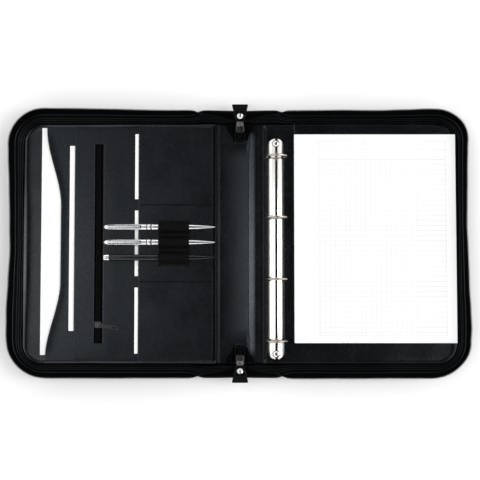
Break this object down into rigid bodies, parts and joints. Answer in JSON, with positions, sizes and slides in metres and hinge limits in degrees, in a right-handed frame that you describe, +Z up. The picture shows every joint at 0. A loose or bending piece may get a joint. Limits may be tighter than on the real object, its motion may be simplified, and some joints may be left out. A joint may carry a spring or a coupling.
{
  "type": "portfolio case",
  "caption": "Zip-round A4 portfolio case lying open: soft walled covers hinged on a spine, a ring binder, a writing pad, stacked pockets, cards and pens in elastic loops.",
  "frame": {"origin": "middle of the spine's outer face, on the surface that the open case lies on", "axes": "+X from the left cover to the right cover, +Y along the spine towards its top end, +Z up from the resting surface"},
  "size_m": [0.594, 0.3582, 0.0305],
  "materials": {
    "outer_leatherette": "satin",
    "inner_leatherette": "satin",
    "board": "matte",
    "zip_tape": "matte",
    "zip_teeth": "satin",
    "zip_metal": "polished",
    "black_metal": "satin",
    "ring_metal": "polished",
    "elastic": "matte",
    "paper": "matte",
    "card": "matte",
    "pen_silver": "polished",
    "pen_black": "gloss"
  },
  "bodies": {
    "spine": {"spine_outer_skin": "outer_leatherette", "spine_board": "board", "spine_lining": "inner_leatherette", "left_crease_skin": "outer_leatherette", "right_crease_skin": "outer_leatherette", "top_end_gusset": "outer_leatherette", "bottom_end_gusset": "outer_leatherette", "top_zip_end": "zip_tape", "bottom_zip_end": "zip_tape", "top_slider": "zip_metal", "bottom_slider": "zip_metal"},
    "left_cover": {"left_outer_skin": "outer_leatherette", "left_board": "board", "left_lining": "inner_leatherette", "left_gusset": "outer_leatherette", "left_zip_tape": "zip_tape", "left_zip_chain": "zip_teeth", "document_sheets": "paper", "document_pocket": "inner_leatherette", "slip_sheet": "paper", "slip_pocket": "inner_leatherette", "pocket_zip_tape": "zip_tape", "pocket_zip_chain": "zip_teeth", "cards": "card", "card_pocket": "inner_leatherette", "pen_loops": "elastic"},
    "right_cover": {"right_outer_skin": "outer_leatherette", "right_board": "board", "right_lining": "inner_leatherette", "right_gusset": "outer_leatherette", "right_zip_tape": "zip_tape", "right_zip_chain": "zip_teeth", "pad_holder": "inner_leatherette", "pad_backing": "card", "pad_sheets": "paper", "pad_head_strip": "paper", "ring_cover_plate": "ring_metal", "mechanism_rivets": "ring_metal"},
    "left_rings": {"left_ring_blade": "ring_metal", "left_ring_halves": "ring_metal"},
    "right_rings": {"right_ring_blade": "ring_metal", "right_ring_halves": "ring_metal"},
    "pocket_slider": {"pocket_slider": "black_metal"},
    "pocket_puller": {"pocket_puller": "black_metal"},
    "top_pull": {"top_pull_link": "zip_metal", "top_pull_tab": "outer_leatherette"},
    "bottom_pull": {"bottom_pull_link": "zip_metal", "bottom_pull_tab": "outer_leatherette"},
    "upper_pen": {"upper_pen_barrel": "pen_silver", "upper_pen_front": "pen_silver", "upper_pen_clip": "pen_silver"},
    "middle_pen": {"middle_pen_barrel": "pen_silver", "middle_pen_front": "pen_silver", "middle_pen_clip": "pen_silver"},
    "lower_pen": {"lower_pen_barrel": "pen_black", "lower_pen_front": "pen_black", "lower_pen_clip": "pen_silver"}
  },
  "joints": [
    {"name": "left_cover_fold", "type": "hinge", "parent": "spine", "child": "left_cover", "pos_m": [-0.024, 0, 0.0012], "axis": [0, 1, 0], "range_deg": [0, 90]},
    {"name": "right_cover_fold", "type": "hinge", "parent": "spine", "child": "right_cover", "pos_m": [0.024, 0, 0.0012], "axis": [0, -1, 0], "range_deg": [0, 90]},
    {"name": "rings_open", "type": "hinge", "parent": "right_cover", "child": "left_rings", "pos_m": [0.0384, -0.0067, 0.0064], "axis": [0, -1, 0], "range_deg": [0, 15]},
    {"name": "right_rings_open", "type": "hinge", "parent": "right_cover", "child": "right_rings", "pos_m": [0.0556, -0.0067, 0.0064], "axis": [0, 1, 0], "range_deg": [0, 15]},
    {"name": "pocket_slider_run", "type": "slide", "parent": "left_cover", "child": "pocket_slider", "axis": [0, 1, 0], "range_m": [0, 0.215]},
    {"name": "pocket_puller_flip", "type": "hinge", "parent": "pocket_slider", "child": "pocket_puller", "pos_m": [-0.18465, -0.106, 0.0092], "axis": [0, -1, 0], "range_deg": [0, 160]},
    {"name": "top_pull_flip", "type": "hinge", "parent": "spine", "child": "top_pull", "pos_m": [0, 0.1529, 0.01786], "axis": [1, 0, 0], "range_deg": [0, 130]},
    {"name": "bottom_pull_flip", "type": "hinge", "parent": "spine", "child": "bottom_pull", "pos_m": [0, -0.1529, 0.01786], "axis": [-1, 0, 0], "range_deg": [0, 130]},
    {"name": "upper_pen_slide", "type": "slide", "parent": "left_cover", "child": "upper_pen", "axis": [-1, 0, 0], "range_m": [0, 0.06]},
    {"name": "middle_pen_slide", "type": "slide", "parent": "left_cover", "child": "middle_pen", "axis": [-1, 0, 0], "range_m": [0, 0.06]},
    {"name": "lower_pen_slide", "type": "slide", "parent": "left_cover", "child": "lower_pen", "axis": [-1, 0, 0], "range_m": [0, 0.06]}
  ],
  "couplings": [
    {"joint": "right_rings_open", "follows": "rings_open", "ratio": 1}
  ]
}
